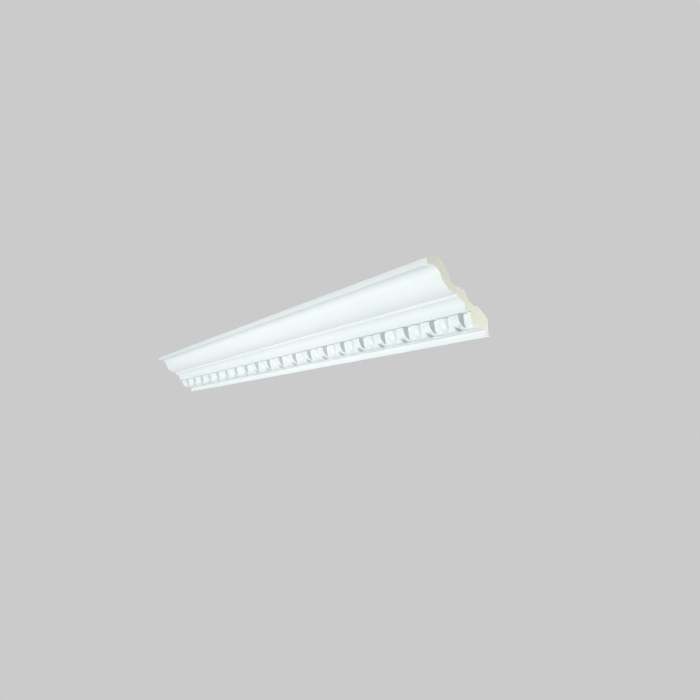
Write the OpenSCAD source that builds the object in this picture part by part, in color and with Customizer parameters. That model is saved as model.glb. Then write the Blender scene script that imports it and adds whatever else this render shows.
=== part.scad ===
// Length of egg-and-dart cornice, moulded in one piece from light rigid foam and hollow behind.
// +X runs along the piece, +Y points into the wall, +Z points up to the ceiling.
// The origin is on the wall face, half way along, in the middle of the glued wall strip.
// Inside this file the section is drawn with n, the distance from the wall, and z, the height
// above the bottom edge.

/* [Run] */
// Length of the piece, cut square at both ends
length = 1160; // [400:1:2400]
// Wanted egg spacing; the piece takes a whole number of them, with half an egg at each end
egg_spacing = 58; // [56:1:75]

/* [Section] */
// Height down the wall
height = 100; // [83:1:125]
// Projection along the ceiling
projection = 91; // [76:1:115]
// Width of the face that meets the ceiling
ceiling_face = 20; // [14:1:24]
// Height of the strip that meets the wall
wall_strip = 24; // [18:1:27]

/* [Plain members] */
// Height of the plain face along the bottom
base_h = 9.7; // [7:0.1:11]
// Thickness of the bottom face
base_t = 5; // [3:0.1:7]
// Height of the thin bead above the bottom face
bead_h = 2.6; // [1.5:0.1:3.5]
// How far the bead stands out from the bottom face
bead_out = 4; // [2:0.1:5]
// Height of the hollow member above the eggs
cove_h = 18.3; // [14:0.1:24]
// How deep the hollow member is
cove_d = 10.4; // [8:0.1:14]
// Height of the straight lip under the hollow member
cove_lip = 3.3; // [1:0.1:6]
// Height of the small fillet between the hollow member and the big curve
fillet_h = 3.8; // [2:0.1:6]
// How far the small fillet stands out from the hollow member
fillet_out = 1.3; // [0.5:0.1:3]
// Width of the flat under the big curve
cyma_step = 3.4; // [1:0.1:6]
// Height of the top face
crown_h = 8.9; // [6:0.1:14]
// Depth of the flat behind the top face
crown_soffit = 5; // [2:0.1:9]

/* [Egg and dart] */
// Radius of the rounded band that the ornament is carved in
ovolo_r = 19.7; // [17.5:0.1:21]
// How far the rounded band stands out from the wall
ovolo_t = 28.9; // [26:0.1:33]
// How far the lip of the hollow member stands out past the eggs
eggs_under = 6.7; // [3:0.1:9]
// Height of the carved band, from the bead to the lip
band_h = 21; // [19:0.1:23]
// Half the width of an egg at its top
egg_r = 12; // [9:0.1:14.5]
// Height of an egg from its cut top to its tip
egg_h = 20; // [17:0.1:22]
// Width of the groove around an egg, at the top
groove_w = 8; // [4:0.1:9.5]
// Depth of the groove around an egg, from the front of the egg
groove_d = 4.7; // [2:0.1:6]
// Width of the husk around an egg, at the top
husk_w = 4.5; // [3:0.1:5]
// Width of the husk under an egg
husk_foot = 2; // [1:0.1:3]
// Width of a dart at the top
dart_w = 7.4; // [4:0.1:8.8]
// Width of a dart at its tip
dart_tip = 4; // [1:0.1:4]
// How far husks and darts stand out past the front of the eggs
husk_proud = 1.3; // [0:0.1:2]
// Thickness of the band at the top of the recesses beside a dart
bed_top = 21; // [16:0.1:23]
// Thickness of the band at the foot of the recesses beside a dart
bed_foot = 8; // [6:0.1:8.9]

/* [Thickness of the back] */
// Behind the middle of the big curve
wall_cyma = 12.4; // [8:0.1:16]
// Behind the small fillet
wall_fillet = 9.4; // [7:0.1:13]
// Behind the hollow member
wall_cove = 10.6; // [7:0.1:13]
// Behind the top of the carved band
wall_band = 11.9; // [8:0.1:15]

/* [Hidden] */

steps = 10; // straight pieces in each round stretch of the section
egg_count = round(length / egg_spacing);
pitch = length / egg_count;
bite = 0.7; // how far the ornament runs into the solid behind and above it
bead_slope = 0.7; // rise of the sloping underside of the bead
egg_gap = 0.5; // from the tip of an egg to its husk
axis_drop = 1.2; // how far below the bead's top the rounded band would reach its foot
turn_share = [0.57, 0.66]; // where the big curve turns, as shares of its width and height
dart_share = 0.25; // where a dart begins to narrow, as a share of the band's height
stock_share = 0.7; // how deep the ornament's stock starts at the top of the band

// Heights of the members, from the bottom edge
bead_top = base_h + bead_h;
band_top = bead_top + band_h;
cove_top = band_top + cove_h;
fillet_top = cove_top + fillet_h;
cyma_top = height - crown_h;

// Corners of the front, as [n, z]
lip_n = ovolo_t + eggs_under;
cove_foot = [lip_n, band_top + cove_lip];
cove_head = [lip_n + cove_d, cove_top];
fillet_n = lip_n + cove_d + fillet_out;
cyma_foot = [fillet_n + cyma_step, fillet_top];
cyma_head = [projection - crown_soffit, cyma_top];
cyma_turn = cyma_foot + [
    turn_share.x * (cyma_head.x - cyma_foot.x),
    turn_share.y * (cyma_head.y - cyma_foot.y)
];
ovolo_axis = [ovolo_t - ovolo_r, bead_top - axis_drop + ovolo_r];

// How sharply the round stretches turn: the angle between a chord and its arc at either end
cyma_bend = 29;
hollow_bend = cyma_bend + heading(cyma_foot, cyma_turn) - heading(cyma_turn, cyma_head);
cove_bend = 90 - heading(cove_foot, cove_head);
bed_bend = 25;
back_bends = [-20, 39, -38, 35, -12]; // round the hollow back, from the ceiling down
cup_power = 4; // squareness of the husks: 2 is an ellipse, more is squarer

// Directions from the front to the turning points of the back, square to the front there
fillet_inward = 117;
cove_inward = 140;
band_inward = 138;
knee_reach = 8.2; // from behind the band to the bend above the wall strip
knee_heading = 204;

// Turning points of the back, one wall thickness behind the front
back_cyma = cyma_turn - [wall_cyma, 0];
back_fillet = beyond([fillet_n, fillet_top], wall_fillet, fillet_inward);
back_cove = beyond(arc_point(cove_foot, cove_head, cove_bend, 0.5), wall_cove, cove_inward);
back_band = beyond([ovolo_t, band_top], wall_band, band_inward);
back_knee = beyond(back_band, knee_reach, knee_heading);

// Direction from p to q, in degrees
function heading(p, q) = atan2(q.y - p.y, q.x - p.x);

// The point at a distance and a direction from p
function beyond(p, distance, angle) = p + distance * [cos(angle), sin(angle)];

// A point on the arc from p to q that leaves p at `bend` degrees to the left of its chord
function arc_point(p, q, bend, t) =
    beyond(p, norm(q - p) * sin(bend * t) / sin(bend), heading(p, q) + bend * (1 - t));

// The arc as points, from p up to but without q
function arc(p, q, bend) = [for (i = [0:steps - 1]) arc_point(p, q, bend, i / steps)];

// Lower quarter of an ellipse about [0, 0], from its foot round to its right-hand side
function quarter(half_w, drop) =
    [for (i = [0:steps]) [half_w * sin(90 * i / steps), -drop * cos(90 * i / steps)]];

// A squarish cup hanging from [0, 0], with straight sides that run up by `rise`
function cup(half_w, drop, rise) = concat(
    [[-half_w, rise]],
    [for (i = [-steps:steps]) [
        half_w * sign(i) * pow(abs(sin(90 * i / steps)), 2 / cup_power),
        -drop * pow(cos(90 * i / steps), 2 / cup_power)
    ]],
    [[half_w, rise]]
);

// Section without the ornament: up the front, back along the ceiling, down behind
section = concat(
    [[0, 0], [base_t, 0], [base_t, base_h]],
    [[base_t + bead_out, base_h + bead_slope], [base_t + bead_out, bead_top]],
    arc([bed_foot, bead_top], [bed_top, band_top], -bed_bend),
    [[bed_top, band_top], [lip_n, band_top]],
    arc(cove_foot, cove_head, cove_bend),
    [cove_head, [fillet_n, cove_top], [fillet_n, fillet_top]],
    arc(cyma_foot, cyma_turn, -cyma_bend),
    arc(cyma_turn, cyma_head, hollow_bend),
    [cyma_head, [projection, cyma_top], [projection, height]],
    arc([projection - ceiling_face, height], back_cyma, back_bends[0]),
    arc(back_cyma, back_fillet, back_bends[1]),
    arc(back_fillet, back_cove, back_bends[2]),
    arc(back_cove, back_band, back_bends[3]),
    arc(back_band, back_knee, back_bends[4]),
    [back_knee, [0, wall_strip]]
);

// Turns a shape drawn as [n, z] into a solid that runs along X, centred
module run(run_length)
    rotate([90, 0, -90])
        linear_extrude(run_length, center = true)
            children();

// Pushes a shape drawn as [x, z] out from the wall, as far as the hollow member's lip
module from_wall()
    rotate([90, 0, 0])
        linear_extrude(lip_n)
            children();

// One egg, round about an upright axis and cut off flat at its widest
module egg()
    translate([0, egg_r - ovolo_t, band_top])
        rotate_extrude($fn = 48)
            polygon(concat([[0, bite]], quarter(egg_r, egg_h), [[egg_r, bite]]));

// The filled outline of a husk, drawn `inset` narrower on each side at the top
module husk_outline(inset, foot, rise)
    translate([0, band_top])
        polygon(cup(egg_r + groove_w + husk_w - inset, egg_h + egg_gap + foot, rise));

// The husk that cups an egg
module husk()
    from_wall()
        difference() {
            husk_outline(0, husk_foot, bite);
            husk_outline(husk_w, 0, bite + 1);
        }

// The floor of the groove between an egg and its husk, still to be rounded off
module groove_floor()
    from_wall()
        husk_outline(husk_w / 2, 0, bite);

// The dart between two husks, which narrows to its tip in front of the bead
module dart()
    from_wall()
        polygon([
            [-dart_w / 2, band_top + bite],
            [-dart_w / 2, bead_top + dart_share * band_h],
            [-dart_tip / 2, bead_top - bite],
            [dart_tip / 2, bead_top - bite],
            [dart_w / 2, bead_top + dart_share * band_h],
            [dart_w / 2, band_top + bite]
        ]);

// What the ornament is carved from: the band in front of a slanting line within its thickness
module stock()
    polygon([
        [bed_foot / 2, bead_top - husk_foot],
        [lip_n, bead_top - husk_foot],
        [lip_n, band_top + bite],
        [stock_share * bed_top, band_top + bite]
    ]);

// One of something at each step of the run, the first at `start` steps from the end
module repeat(start, count)
    for (i = [0:count - 1])
        translate([(i + start) * pitch - length / 2, 0, 0])
            children();

// The eggs, cut in half by the square ends
module eggs()
    intersection() {
        repeat(0, egg_count + 1)
            egg();
        run(length)
            stock();
    }

// Rounds solids off to a curve that runs along the band
module rounded_to(r)
    intersection() {
        children();
        run(length)
            intersection() {
                stock();
                translate(ovolo_axis)
                    circle(r, $fn = 96);
            }
    }

// The husks and darts, with the shallower floors inside the husks
module husks_and_darts() {
    rounded_to(ovolo_r + husk_proud)
        union() {
            repeat(0, egg_count + 1)
                husk();
            repeat(0.5, egg_count)
                dart();
        }
    rounded_to(ovolo_r - groove_d)
        repeat(0, egg_count + 1)
            groove_floor();
}

module cornice()
    color("mintcream")
        translate([0, 0, -wall_strip / 2])
            union() {
                run(length)
                    polygon(section);
                eggs();
                husks_and_darts();
            }

cornice();
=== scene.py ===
"""Straight length of egg-and-dart cornice: one moulded piece of rigid foam with a white primer."""
import math

import bmesh
import bpy
from mathutils import Matrix, Vector


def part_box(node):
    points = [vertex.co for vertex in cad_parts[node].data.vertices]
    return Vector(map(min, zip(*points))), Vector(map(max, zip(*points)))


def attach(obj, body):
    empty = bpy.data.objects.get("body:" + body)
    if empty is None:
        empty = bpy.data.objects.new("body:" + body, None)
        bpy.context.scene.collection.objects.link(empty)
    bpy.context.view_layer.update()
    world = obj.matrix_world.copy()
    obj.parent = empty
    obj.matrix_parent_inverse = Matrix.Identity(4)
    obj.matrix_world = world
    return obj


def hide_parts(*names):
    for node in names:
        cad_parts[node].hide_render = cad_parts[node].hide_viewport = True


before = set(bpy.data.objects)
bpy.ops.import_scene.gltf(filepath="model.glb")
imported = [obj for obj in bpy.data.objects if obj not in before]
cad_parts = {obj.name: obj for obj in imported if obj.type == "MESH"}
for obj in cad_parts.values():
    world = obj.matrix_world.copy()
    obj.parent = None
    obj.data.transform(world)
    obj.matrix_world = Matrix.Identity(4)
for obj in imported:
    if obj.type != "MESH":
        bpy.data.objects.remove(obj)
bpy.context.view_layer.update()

# ---------------------------------------------------------------------------------------------
# The cornice: one length of hard polyurethane foam, cast in a closed mould and sawn square at
# both ends through the middle of an egg. The front has a sprayed white primer, and the hollow
# back keeps the cream skin of the foam. Two narrow faces are glued to the wall and the ceiling.
# ---------------------------------------------------------------------------------------------

# Sections are drawn in millimetres as (n, z): n is the distance from the wall and z the height
# above the bottom edge. x is measured along the run from the middle of an egg.
MM = 0.001
box_low, box_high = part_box("cornice")
run_length = (box_high.x - box_low.x) / MM
height = (box_high.z - box_low.z) / MM
projection = (box_high.y - box_low.y) / MM
bottom_z = box_low.z / MM

egg_count = 20
pitch = run_length / egg_count
half = pitch / 2


def beyond(p, distance, angle):
    """The point at a distance and a direction, in degrees, from p."""
    turn = math.radians(angle)
    return (p[0] + distance * math.cos(turn), p[1] + distance * math.sin(turn))


def heading(p, q):
    """Direction from p to q, in degrees."""
    return math.degrees(math.atan2(q[1] - p[1], q[0] - p[0]))


def arc(p, q, bend, steps):
    """Points of the arc from p up to but without q, leaving p at `bend` degrees off its chord."""
    chord = math.dist(p, q)
    points = []
    for i in range(steps):
        t = i / steps
        reach = chord * math.sin(math.radians(bend * t)) / math.sin(math.radians(bend))
        points.append(beyond(p, reach, heading(p, q) + bend * (1 - t)))
    return points


def eased(before, corner, after, radius, steps=3):
    """A corner taken off to a small round, as a mould and a coat of primer leave it."""
    most = 0.45  # of the side that it is taken from
    a = Vector(before) - Vector(corner)
    b = Vector(after) - Vector(corner)
    start = Vector(corner) + a.normalized() * min(radius, a.length * most)
    end = Vector(corner) + b.normalized() * min(radius, b.length * most)
    points = []
    for i in range(steps + 1):
        t = i / steps
        points.append(tuple(start * (1 - t) ** 2 + Vector(corner) * 2 * t * (1 - t) + end * t ** 2))
    return points


# The plain members, from the bottom edge up. A quirk is a fine sunk line in a corner.
base_t = 5
base_top = 9.7
base_quirk_d = 1.2
base_quirk_z = (base_top + 0.2, base_top + 0.5)
bead_n = 9
bead_low = (base_t, base_top + 0.6)
bead_foot = 10.6
bead_top = 12.3
bead_arris = 0.3
band_top = 33.3
lip = (35.6, 36.6)
cove_head = (46, 51.6)
cove_steps = 18
fillet_n = 47.3
fillet_top = 55.4
cyma_quirk_w = 1.3
cyma_quirk_h = 1.4
cyma_foot = (50.7, fillet_top)
cyma_turn = (70.82, 78.96)
cyma_bend = 29
cyma_steps = 22
hollow_steps = 16
crown_h = 8.9
crown_soffit = 5
ceiling_face = 20
arris = 0.5

crown_foot = height - crown_h
cyma_head = (projection - crown_soffit, crown_foot)
ceiling_back = projection - ceiling_face
hollow_bend = cyma_bend + heading(cyma_foot, cyma_turn) - heading(cyma_turn, cyma_head)

front_below = [
    (0, 0),
    *eased((0, 0), (base_t, 0), (base_t, base_top), arris),
    (base_t, base_top),
    (base_t - base_quirk_d, base_quirk_z[0]),
    (base_t - base_quirk_d, base_quirk_z[1]),
    *eased(bead_low, (bead_n, bead_foot), (bead_n, bead_top), bead_arris),
]
front_above = [
    *eased((0, band_top), (lip[0], band_top), lip, arris),
    *arc(lip, cove_head, 90 - heading(lip, cove_head), cove_steps),
    cove_head,
    *eased(cove_head, (fillet_n, cove_head[1]), (fillet_n, fillet_top), arris),
    (fillet_n, fillet_top + cyma_quirk_h),
    (fillet_n + cyma_quirk_w, fillet_top + cyma_quirk_h),
    (fillet_n + cyma_quirk_w, fillet_top),
    *arc(cyma_foot, cyma_turn, -cyma_bend, cyma_steps),
    *arc(cyma_turn, cyma_head, hollow_bend, hollow_steps),
    cyma_head,
    *eased(cyma_head, (projection, crown_foot), (projection, height), arris),
    *eased((projection, crown_foot), (projection, height), (ceiling_back, height), arris),
]

# The hollow back. It turns at points one wall thickness behind the front, each in a direction
# square to the front there.
wall_strip = 24
wall_cyma = 12.4
wall_fillet = 9.4
wall_cove = 10.6
wall_band = 11.9
fillet_inward = 117
cove_inward = 140
band_inward = 138
cove_middle = (39.2, 45.1)
band_head = (28.9, band_top)
knee_reach = 8.2
knee_heading = 204
back_bends = (-20, 39, -38, 35, -12)  # from the ceiling down
back_steps = 14
knee_steps = 6

back_cyma = (cyma_turn[0] - wall_cyma, cyma_turn[1])
back_fillet = beyond((fillet_n, fillet_top), wall_fillet, fillet_inward)
back_cove = beyond(cove_middle, wall_cove, cove_inward)
back_band = beyond(band_head, wall_band, band_inward)
back_knee = beyond(back_band, knee_reach, knee_heading)
back = [
    (ceiling_back, height),
    *arc((ceiling_back, height), back_cyma, back_bends[0], back_steps)[1:],
    *arc(back_cyma, back_fillet, back_bends[1], back_steps),
    *arc(back_fillet, back_cove, back_bends[2], back_steps),
    *arc(back_cove, back_band, back_bends[3], back_steps),
    *arc(back_band, back_knee, back_bends[4], knee_steps),
    back_knee,
    (0, wall_strip),
]

# The carved band, rounded about an axis that runs along it, with a quirk over the ornament
axis_n, axis_z = 9.2, 30.8
band_quirk_h = 0.9
band_quirk_d = 2.0
ornament_top = band_top - band_quirk_h
rows_low = 16   # rows of faces up to where the husk leaves the bead
rows_high = 34  # and from there to the top


def smooth(t):
    """Rises from 0 to 1 as t does, with a soft start and end."""
    t = min(max(t, 0.0), 1.0)
    return t * t * (3 - 2 * t)


def n_at(radius, z):
    """Distance from the wall of a round of that radius about the band's axis."""
    return axis_n + math.sqrt(max(radius ** 2 - (z - axis_z) ** 2, 0.0))


def cup(size, squareness, steps=400):
    """Lower right quarter of a squarish ellipse, hung from the top of the ornament by its half
    width and its drop: a fine line, and the length along it."""
    line = []
    for i in range(steps + 1):
        turn = math.pi / 2 * i / steps
        x = size[0] * math.sin(turn) ** (2 / squareness)
        z = ornament_top - size[1] * math.cos(turn) ** (2 / squareness)
        if i == steps:
            z = ornament_top
        line.append((x, z))
    reach = [0.0]
    for p, q in zip(line, line[1:]):
        reach.append(reach[-1] + math.dist(p, q))
    return line, reach


def on_cup(shape, u):
    """The point at the share u of the way round a cup, from its foot to its top."""
    line, reach = shape
    goal = u * reach[-1]
    low, high = 0, len(reach) - 1
    while high - low > 1:
        middle = (low + high) // 2
        if reach[middle] <= goal:
            low = middle
        else:
            high = middle
    t = (goal - reach[low]) / (reach[high] - reach[low])
    p, q = line[low], line[high]
    return (p[0] + (q[0] - p[0]) * t, p[1] + (q[1] - p[1]) * t)


# An egg: cut off flat at its widest, and a little squarer than a circle seen from above
egg_n = 16.9
egg_r = 12
egg_h = 19.3
egg_taper = 3
egg_squareness = 2.3
egg_outline = (10.6, 18.5)
egg_columns = 12
egg_line = cup(egg_outline, squareness=3)


def egg_surface(x, z):
    """Distance from the wall of an egg."""
    drop = (ornament_top - z) / egg_h
    half_width = egg_r * (1 - drop ** egg_taper) ** (1 / egg_taper)
    bulge = egg_r * math.sqrt(1 - drop ** 2)
    aside = (x / half_width) ** egg_squareness
    return egg_n + bulge * max(1 - aside, 0.0) ** (1 / egg_squareness)


# A husk: the squarish cup round an egg. An inset of 0 is its outer edge and 1 its inner one. Its
# profile is given from the inner edge to the outer, each step as the inset and the face's drop.
husk_in = (20.0, 18.8)
husk_out = (24.3, 21.1)
squareness_in = 6
squareness_out = 12
husk_r = 20.1  # radius of a husk's face under the egg
husk_rise = 1.6  # how much more it is further up
rise_share = 0.6  # the share of the way round by which it has risen
husk_wall_inset = 1.08  # where its inner wall meets the groove
husk_profile = (
    (1.0, 0.9),
    (0.97, 0.35),
    (0.88, 0.05),
    (0.68, -0.12),
    (0.45, -0.18),
    (0.24, -0.05),
    (0.09, 0.12),
    (0.02, 0.3),
    (0.0, 0.55),
)
edge_drop = 0.3  # a deeper drop than this belongs to the edge of a husk,
edge_share = 0.7  # and stays under this share of the depth of its groove
draft_most = 0.3  # how far the outer walls of husks and darts lean out at their foot,
draft_share = 0.4  # or this share of the gap between them, where it is narrow


def crest(u):
    """Radius of the husk's face: it drops back a little under the egg."""
    return husk_r + husk_rise * smooth(u / rise_share)


def husk_line(inset, wider=0.0):
    """Line round a husk at an inset: the further out, the squarer."""
    half_width = husk_out[0] + (husk_in[0] - husk_out[0]) * inset + wider
    drop = husk_out[1] + (husk_in[1] - husk_out[1]) * inset + wider
    squareness = squareness_in + (squareness_out - squareness_in) * (1 - inset)
    return cup((half_width, drop), squareness)


husk_wall_line = husk_line(husk_wall_inset)
husk_lines = [husk_line(inset) for inset, _ in husk_profile]
husk_edge = husk_lines[-1]
husk_foot_line = husk_line(0.0, wider=draft_most)


def landing():
    """How far round the husk its outer wall leaves the bead for the pocket."""
    low, high = 0.0, 1.0
    halvings = 50
    for _ in range(halvings):
        middle = (low + high) / 2
        if on_cup(husk_foot_line, middle)[1] < bead_top:
            low = middle
        else:
            high = middle
    return high


u_land = landing()
shares = [u_land * i / rows_low for i in range(rows_low)]
shares += [u_land + (1 - u_land) * i / rows_high for i in range(rows_high + 1)]

# A dart: it narrows from its shoulder to its neck, and its point ends in front of the bead. Its
# profile is given from its edge to its middle, each step as the share of the way and the drop.
dart_half = 4.1
dart_tip_half = 1.3
dart_shoulder = 18.6
dart_neck = 14.6
dart_tip_z = 11.4
dart_r = 21.8
dart_drop = 2.4
dart_profile = ((0.0, 0.6), (0.03, 0.35), (0.1, 0.12), (0.28, 0.0), (0.6, -0.15), (1.0, -0.25))
# The rows of its point, from the top of the bead down: height, and how far the face is sunk
dart_point = ((bead_top, 0.0), (11.95, 0.05), (11.62, 0.35), (dart_tip_z, 0.9))


def dart_edge(z):
    taper = min(max((dart_shoulder - z) / (dart_shoulder - dart_neck), 0.0), 1.0)
    return half - dart_half + (dart_half - dart_tip_half) * taper


def dart_face(z):
    """Radius of the dart's face: its point drops back to the rim."""
    return dart_r - dart_drop * smooth((dart_shoulder - z) / (dart_shoulder - dart_neck))


def dart_part(z, edge, sink=0.0):
    """The dart from the top of its side wall to its middle, with its face sunk a little."""
    width = half - edge
    face = dart_face(z) - sink
    return [(edge + width * share, n_at(face - drop, z), z) for share, drop in dart_profile]


# The pocket between a husk and a dart: the wider, the deeper, and closed by a rim at its foot.
# From a round of pocket_r its depth is pocket_least, and pocket_slope times what the gap has over
# pocket_from, down to a bed that leans out from the bead upwards.
pocket_r = 21.4
pocket_least = 0.1
pocket_slope = 5.5
pocket_from = 0.75
bed_slope = 0.5
rim_r = 19.3
rim_top = 12.7
rim_round = 0.5
pocket_columns = 4


def pocket_floor(z, gap):
    """Distance from the wall of the pocket's floor."""
    deepest = bead_n + (z - bead_top) * bed_slope
    cut = n_at(pocket_r, z) - (pocket_least + pocket_slope * max(gap - pocket_from, 0.0))
    rim = n_at(rim_r, z)
    return rim + (max(deepest, cut) - rim) * smooth((z - rim_top) / rim_round)


def draft(gap):
    """How far the outer wall of a husk or a dart leans out where they are that far apart."""
    return min(draft_most, draft_share * gap)


# The groove between an egg and its husk: shallow under the egg, deep beside it. It deepens over
# a share of the way round, and its floor dips a little between the two.
groove_least = 0.25
groove_more = 7.4
groove_from = 0.35
groove_over = 0.55
groove_dip = 0.2
groove_columns = 4


def groove_depth(u):
    return groove_least + groove_more * smooth((u - groove_from) / groove_over)


def carved_row(u):
    """One row across egg, groove and husk, from the middle of the egg to the foot of the husk."""
    egg_x, egg_z = on_cup(egg_line, u)
    row = []
    for k in range(egg_columns + 1):
        x = egg_x * math.sin(math.pi / 2 * k / egg_columns)
        row.append((x, egg_surface(x, egg_z), egg_z))
    groove_start = row[-1]
    depth = groove_depth(u)
    wall_x, wall_z = on_cup(husk_wall_line, u)
    groove_end = (wall_x, n_at(crest(u) - depth, wall_z), wall_z)
    for k in range(1, groove_columns):
        t = k / groove_columns
        dip = groove_dip * u * math.sin(math.pi * t)
        x, n, z = (a + (b - a) * t for a, b in zip(groove_start, groove_end))
        row.append((x, n - dip, z))
    row.append(groove_end)
    for (_, drop), line in zip(husk_profile, husk_lines):
        x, z = on_cup(line, u)
        shallow = min(drop, edge_share * depth) if drop > edge_drop else drop
        row.append((x, n_at(crest(u) - shallow, z), z))
    x, z = on_cup(husk_foot_line, u)
    if u < u_land:
        row.append((x, bead_n, z))
    else:
        gap = dart_edge(z) - on_cup(husk_edge, u)[0]
        x = on_cup(husk_edge, u)[0] + draft(gap)
        z = bead_top if u == u_land else z
        row.append((x, pocket_floor(z, gap), z))
    return row


def pocket_row(u):
    """One row from the foot of the husk across the pocket to the middle of the dart."""
    start = carved_row(u)[-1]
    z = start[2]
    edge = dart_edge(z)
    gap = edge - on_cup(husk_edge, u)[0]
    foot = edge - draft(gap)
    floor = pocket_floor(z, gap)
    row = [start]
    for k in range(1, pocket_columns):
        row.append((start[0] + (foot - start[0]) * k / pocket_columns, floor, z))
    row.append((foot, floor, z))
    return row + dart_part(z, edge)


def point_row(z, sink):
    """One row of the dart's point, from the bead to its middle."""
    edge = dart_edge(z)
    foot = edge - draft(edge - on_cup(husk_edge, u_land)[0])
    return [(foot, bead_n, z)] + dart_part(z, edge, sink)


# The mesh of half an egg and half a dart, with the plain members above and below it
unit = bmesh.new()
bare = unit.faces.layers.int.new("foam_skin")
closest = 1e-6  # in metres: points nearer than this are one


def place(x, n, z):
    return Vector((x * MM, -n * MM, (z + bottom_z) * MM))


def add_face(points, skin=0):
    corners = []
    for p in points:
        if not corners or (p - corners[-1]).length > closest:
            corners.append(p)
    if (corners[0] - corners[-1]).length <= closest:
        corners.pop()
    if len(corners) < 3:
        return
    face = unit.faces.new([unit.verts.new(p) for p in corners])
    face[bare] = skin
    face.smooth = True


def add_flat(points):
    add_face([place(*p) for p in points])


def add_grid(rows):
    for low, high in zip(rows, rows[1:]):
        for i in range(len(low) - 1):
            add_flat([low[i], low[i + 1], high[i + 1], high[i]])


def add_run(line, skin=0):
    """A plain member: a line of the section carried from the egg to the dart."""
    for p, q in zip(line, line[1:]):
        add_face([place(0, *p), place(half, *p), place(half, *q), place(0, *q)], skin)


carved = [carved_row(u) for u in shares]
pocket = [pocket_row(u) for u in shares[rows_low:]]
point = [point_row(z, sink) for z, sink in dart_point]

add_grid(carved)
add_grid(pocket)
add_grid(point[::-1])
add_run(front_above)
add_run([front_above[-1]] + back, skin=1)
add_run([back[-1], (0, 0)], skin=1)
add_run(front_below)

# The flat face of the bead round the feet of husk and dart, and what closes the carving there
bead_line = front_below[-1][1]
rim_line = pocket[0][:pocket_columns + 1]
under_rim = [(x, bead_n, z) for x, _, z in rim_line]
dart_foot = pocket[0][pocket_columns + 1]
add_flat(
    [(0, bead_n, bead_line), (half, bead_n, bead_line), (half, bead_n, dart_tip_z)]
    + [row[0] for row in point[::-1]]
    + under_rim[-2::-1]
    + [row[-1] for row in carved[rows_low - 1::-1]]
)
add_flat(under_rim + [dart_foot] + rim_line[::-1])
add_flat([carved[rows_low - 1][-1], under_rim[0], rim_line[0]])
add_flat([(half, bead_n, dart_tip_z)] + point[-1][::-1])

# The quirk over the ornament, and the flat soffit
crown_of_band = carved[-1][:-1] + pocket[-1]
quirk = [[(x, n - band_quirk_d, z) for x, n, z in crown_of_band]]
quirk.append([(x, n, band_top) for x, n, _ in quirk[0]])
add_grid([crown_of_band] + quirk)
add_flat(quirk[-1] + [(half, *front_above[0]), (0, *front_above[0])])

# Its mirror image makes one whole dart between two half eggs
bmesh.ops.remove_doubles(unit, verts=unit.verts, dist=closest)
mirrored = bmesh.ops.duplicate(unit, geom=unit.verts[:] + unit.edges[:] + unit.faces[:])["geom"]
for v in (g for g in mirrored if isinstance(g, bmesh.types.BMVert)):
    v.co.x = pitch * MM - v.co.x
bmesh.ops.reverse_faces(unit, faces=[g for g in mirrored if isinstance(g, bmesh.types.BMFace)])
bmesh.ops.remove_doubles(unit, verts=unit.verts, dist=closest)
unit_mesh = bpy.data.meshes.new("one_egg_and_dart")
unit.to_mesh(unit_mesh)
unit.free()


def noise(tree, where, scale, detail, roughness=0.5):
    node = tree.nodes.new("ShaderNodeTexNoise")
    node.inputs["Scale"].default_value = scale
    node.inputs["Detail"].default_value = detail
    node.inputs["Roughness"].default_value = roughness
    tree.links.new(where, node.inputs["Vector"])
    return node.outputs["Fac"]


def ramp(tree, factor, stops):
    node = tree.nodes.new("ShaderNodeValToRGB")
    bands = node.color_ramp.elements
    while len(bands) < len(stops):
        bands.new(0.5)
    for band, (position, colour) in zip(bands, stops):
        band.position = position
        band.color = (*colour, 1)
    tree.links.new(factor, node.inputs["Fac"])
    return node.outputs["Color"]


def bump(tree, heights, strength, distance, before=None):
    node = tree.nodes.new("ShaderNodeBump")
    node.inputs["Strength"].default_value = strength
    node.inputs["Distance"].default_value = distance
    tree.links.new(heights, node.inputs["Height"])
    if before:
        tree.links.new(before, node.inputs["Normal"])
    return node.outputs["Normal"]


def new_material(name):
    material = bpy.data.materials.new(name)
    material.use_nodes = True
    tree = material.node_tree
    shader = tree.nodes["Principled BSDF"]
    where = tree.nodes.new("ShaderNodeTexCoord").outputs["Object"]
    return material, tree, shader, where


def white_primer():
    """Sprayed water-based primer: cool white, a low even sheen and the faintest orange peel."""
    material, tree, shader, where = new_material("white_primer")
    clouds = noise(tree, where, scale=14, detail=4)
    tint = ramp(tree, clouds, [(0.3, (0.805, 0.850, 0.850)), (0.7, (0.840, 0.876, 0.876))])
    tree.links.new(tint, shader.inputs["Base Color"])
    wear = noise(tree, where, scale=60, detail=3)
    gloss = ramp(tree, wear, [(0.3, (0.38,) * 3), (0.7, (0.46,) * 3)])
    tree.links.new(gloss, shader.inputs["Roughness"])
    shader.inputs["Specular IOR Level"].default_value = 0.5
    peel = noise(tree, where, scale=900, detail=3)
    swell = bump(tree, noise(tree, where, scale=120, detail=2), strength=0.08, distance=0.001)
    surface = bump(tree, peel, strength=0.12, distance=0.0003, before=swell)
    tree.links.new(surface, shader.inputs["Normal"])
    return material


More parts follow.
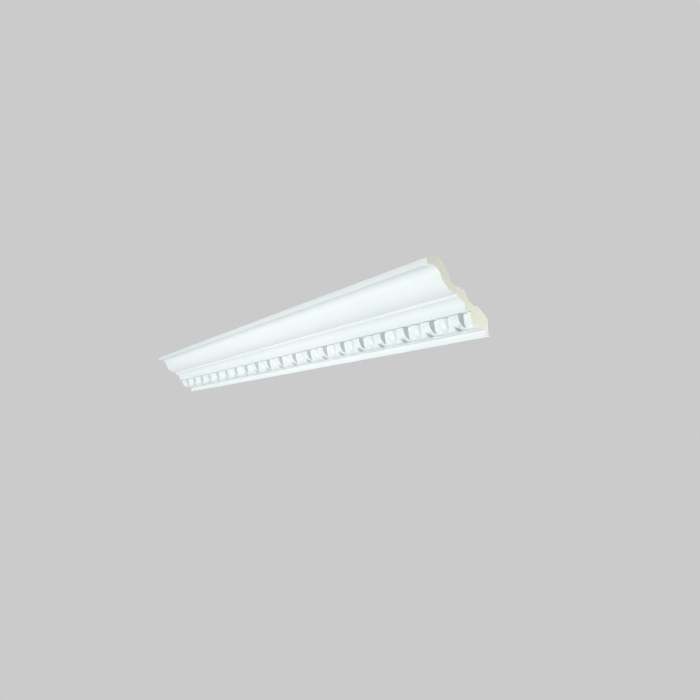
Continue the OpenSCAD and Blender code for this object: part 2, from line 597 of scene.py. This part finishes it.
def sawn_foam():
    """The cut through the foam: cream, dull, with cells under half a millimetre wide."""
    material, tree, shader, where = new_material("sawn_foam")
    mottle = noise(tree, where, scale=260, detail=5, roughness=0.65)
    body = ramp(tree, mottle, [
        (0.25, (0.63, 0.63, 0.54)),
        (0.5, (0.69, 0.69, 0.60)),
        (0.8, (0.74, 0.74, 0.66)),
    ])
    cells = tree.nodes.new("ShaderNodeTexVoronoi")
    cells.inputs["Scale"].default_value = 2300
    tree.links.new(where, cells.inputs["Vector"])
    pores = ramp(tree, cells.outputs["Distance"], [(0.0, (0.72, 0.70, 0.64)), (0.45, (1, 1, 1))])
    mix = tree.nodes.new("ShaderNodeMix")
    mix.data_type = "RGBA"
    mix.blend_type = "MULTIPLY"
    mix.inputs[0].default_value = 0.8
    tree.links.new(body, mix.inputs[6])
    tree.links.new(pores, mix.inputs[7])
    tree.links.new(mix.outputs[2], shader.inputs["Base Color"])
    shader.inputs["Roughness"].default_value = 0.85
    shader.inputs["Specular IOR Level"].default_value = 0.25
    pitted = bump(tree, cells.outputs["Distance"], strength=0.5, distance=0.0002)
    surface = bump(tree, mottle, strength=0.3, distance=0.0004, before=pitted)
    tree.links.new(surface, shader.inputs["Normal"])
    return material


def foam_skin():
    """The back as it leaves the mould: a closed cream skin, slightly shiny, with flow marks."""
    material, tree, shader, where = new_material("foam_skin")
    clouds = noise(tree, where, scale=22, detail=5, roughness=0.6)
    tint = ramp(tree, clouds, [(0.3, (0.66, 0.63, 0.51)), (0.7, (0.76, 0.735, 0.62))])
    tree.links.new(tint, shader.inputs["Base Color"])
    shader.inputs["Roughness"].default_value = 0.6
    shader.inputs["Specular IOR Level"].default_value = 0.35
    flow = bump(tree, noise(tree, where, scale=70, detail=4), strength=0.25, distance=0.001)
    grain = noise(tree, where, scale=800, detail=2)
    surface = bump(tree, grain, strength=0.15, distance=0.0003, before=flow)
    tree.links.new(surface, shader.inputs["Normal"])
    return material


def repeat_tree():
    """Geometry nodes: one unit for each egg spacing, joined edge to edge, primed and bare."""
    group = bpy.data.node_groups.new("run_of_eggs", "GeometryNodeTree")
    new_socket = group.interface.new_socket
    new_socket("Geometry", in_out="INPUT", socket_type="NodeSocketGeometry")
    new_socket("Eggs", in_out="INPUT", socket_type="NodeSocketInt")
    new_socket("Spacing", in_out="INPUT", socket_type="NodeSocketVector")
    new_socket("Start", in_out="INPUT", socket_type="NodeSocketVector")
    new_socket("Primer", in_out="INPUT", socket_type="NodeSocketMaterial")
    new_socket("Skin", in_out="INPUT", socket_type="NodeSocketMaterial")
    new_socket("Geometry", in_out="OUTPUT", socket_type="NodeSocketGeometry")
    add = group.nodes.new
    link = group.links.new
    given = add("NodeGroupInput").outputs
    line = add("GeometryNodeMeshLine")
    line.mode = "OFFSET"
    link(given["Eggs"], line.inputs["Count"])
    link(given["Start"], line.inputs["Start Location"])
    link(given["Spacing"], line.inputs["Offset"])
    copies = add("GeometryNodeInstanceOnPoints")
    link(line.outputs["Mesh"], copies.inputs["Points"])
    link(given["Geometry"], copies.inputs["Instance"])
    real = add("GeometryNodeRealizeInstances")
    link(copies.outputs["Instances"], real.inputs["Geometry"])
    joined = add("GeometryNodeMergeByDistance")
    joined.inputs["Distance"].default_value = 2 * closest
    link(real.outputs["Geometry"], joined.inputs["Geometry"])
    primed = add("GeometryNodeSetMaterial")
    link(joined.outputs["Geometry"], primed.inputs["Geometry"])
    link(given["Primer"], primed.inputs["Material"])
    is_bare = add("GeometryNodeInputNamedAttribute")
    is_bare.data_type = "INT"
    is_bare.inputs["Name"].default_value = "foam_skin"
    bared = add("GeometryNodeSetMaterial")
    link(primed.outputs["Geometry"], bared.inputs["Geometry"])
    link(is_bare.outputs["Attribute"], bared.inputs["Selection"])
    link(given["Skin"], bared.inputs["Material"])
    link(bared.outputs["Geometry"], add("NodeGroupOutput").inputs["Geometry"])
    return group


def whole_run(mesh, name):
    """Runs the tree on the unit and returns the whole run as a plain mesh."""
    seed = bpy.data.objects.new("unit", mesh)
    bpy.context.scene.collection.objects.link(seed)
    modifier = seed.modifiers.new("run", "NODES")
    modifier.node_group = repeat_tree()
    inputs = [s for s in modifier.node_group.interface.items_tree if s.in_out == "INPUT"]
    sockets = {s.name: s.identifier for s in inputs}
    modifier[sockets["Eggs"]] = egg_count
    modifier[sockets["Spacing"]] = (pitch * MM, 0.0, 0.0)
    modifier[sockets["Start"]] = (box_low.x, 0.0, 0.0)
    modifier[sockets["Primer"]] = white_primer()
    modifier[sockets["Skin"]] = foam_skin()
    graph = bpy.context.evaluated_depsgraph_get()
    whole = bpy.data.meshes.new_from_object(seed.evaluated_get(graph))
    bpy.data.objects.remove(seed)
    whole.name = name
    return whole


cornice_mesh = whole_run(unit_mesh, "cornice_length")
cornice_mesh.materials.append(sawn_foam())

# The two square saw cuts close the run
at_the_cut = 1e-5
sharp_angle = math.radians(38)
sawn = bmesh.new()
sawn.from_mesh(cornice_mesh)
for end in (box_low.x, box_high.x):
    outline = [
        e for e in sawn.edges
        if e.is_boundary and all(abs(v.co.x - end) < at_the_cut for v in e.verts)
    ]
    for face in bmesh.ops.holes_fill(sawn, edges=outline, sides=0)["faces"]:
        face.material_index = len(cornice_mesh.materials) - 1
        face.smooth = False
bmesh.ops.recalc_face_normals(sawn, faces=sawn.faces)
sawn.to_mesh(cornice_mesh)
sawn.free()
cornice_mesh.set_sharp_from_angle(angle=sharp_angle)

cornice_length = bpy.data.objects.new("cornice_length", cornice_mesh)
bpy.context.scene.collection.objects.link(cornice_length)
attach(cornice_length, "root")
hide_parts("cornice")

# ---------------------------------------------------------------------------------------------
# The studio: a plain pale floor well below the piece, which hangs at ceiling height. A soft
# light stands low on the room side, a weaker one high behind the piece, and a small one beside
# the near cut. The camera is under the piece and looks up along it.
# ---------------------------------------------------------------------------------------------

room_tone = (0.60, 0.595, 0.605, 1)
room_radius = 20
floor_drop = 1.7


def stage_paint(name, tone):
    """Plain paint that shows its own tone and leaves the light on the piece alone."""
    material = bpy.data.materials.new(name)
    material.use_nodes = True
    shader = material.node_tree.nodes["Principled BSDF"]
    shader.inputs["Base Color"].default_value = (0, 0, 0, 1)
    shader.inputs["Roughness"].default_value = 1
    shader.inputs["Specular IOR Level"].default_value = 0
    shader.inputs["Emission Color"].default_value = tone
    shader.inputs["Emission Strength"].default_value = 1
    return material


def stage_piece(name, shape):
    mesh = bpy.data.meshes.new(name)
    shape.to_mesh(mesh)
    shape.free()
    mesh.materials.append(stage_paint(name + "_paint", room_tone))
    piece = bpy.data.objects.new(name, mesh)
    bpy.context.scene.collection.objects.link(piece)
    piece.visible_diffuse = False
    piece.visible_glossy = False
    piece.visible_shadow = False


disc = bmesh.new()
bmesh.ops.create_circle(disc, cap_ends=True, segments=96, radius=room_radius)
bmesh.ops.translate(disc, verts=disc.verts, vec=(0, 0, -floor_drop))
stage_piece("floor", disc)
dome = bmesh.new()
bmesh.ops.create_uvsphere(dome, u_segments=48, v_segments=24, radius=room_radius)
stage_piece("backdrop", dome)

world = bpy.data.worlds.new("soft_room")
world.use_nodes = True
world.node_tree.nodes["Background"].inputs["Color"].default_value = (0.79, 0.93, 0.94, 1)
world.node_tree.nodes["Background"].inputs["Strength"].default_value = 0.31
bpy.context.scene.world = world


def soft_light(name, stand, aim, size, power, colour):
    lamp = bpy.data.lights.new(name, "AREA")
    lamp.shape = "DISK"
    lamp.size = size
    lamp.energy = power
    lamp.color = colour
    holder = bpy.data.objects.new(name, lamp)
    bpy.context.scene.collection.objects.link(holder)
    holder.visible_camera = False
    holder.location = stand
    holder.rotation_euler = (Vector(aim) - Vector(stand)).to_track_quat("-Z", "Y").to_euler()


soft_light(
    "key", stand=(-0.05, -2.54, -1.33), aim=(0.1, 0, 0),
    size=0.8, power=71, colour=(1.0, 0.972, 0.968),
)
soft_light(
    "back_fill", stand=(-0.6, 2.2, 1.4), aim=(0, 0, 0.03),
    size=1.5, power=34, colour=(1.0, 0.985, 0.96),
)
soft_light(
    "end_fill", stand=(1.0, 0.45, -0.1), aim=(0.58, -0.03, 0.0),
    size=0.3, power=5.8, colour=(1.0, 0.98, 0.965),
)

camera_place = (1.1538, -0.5834, -0.0773)
camera_yaw = 32.88
camera_pitch = 4.62
camera_roll = -5.06
view_camera = bpy.data.cameras.new("camera")
view_camera.sensor_width = 36
view_camera.lens = 32.27
camera = bpy.data.objects.new("camera", view_camera)
bpy.context.scene.collection.objects.link(camera)
camera.matrix_world = (
    Matrix.Translation(camera_place)
    @ Matrix.Rotation(math.radians(90 - camera_yaw), 4, "Z")
    @ Matrix.Rotation(math.radians(90 + camera_pitch), 4, "X")
    @ Matrix.Rotation(math.radians(camera_roll), 4, "Z")
)
bpy.context.scene.camera = camera
bpy.context.scene.view_settings.view_transform = "Standard"
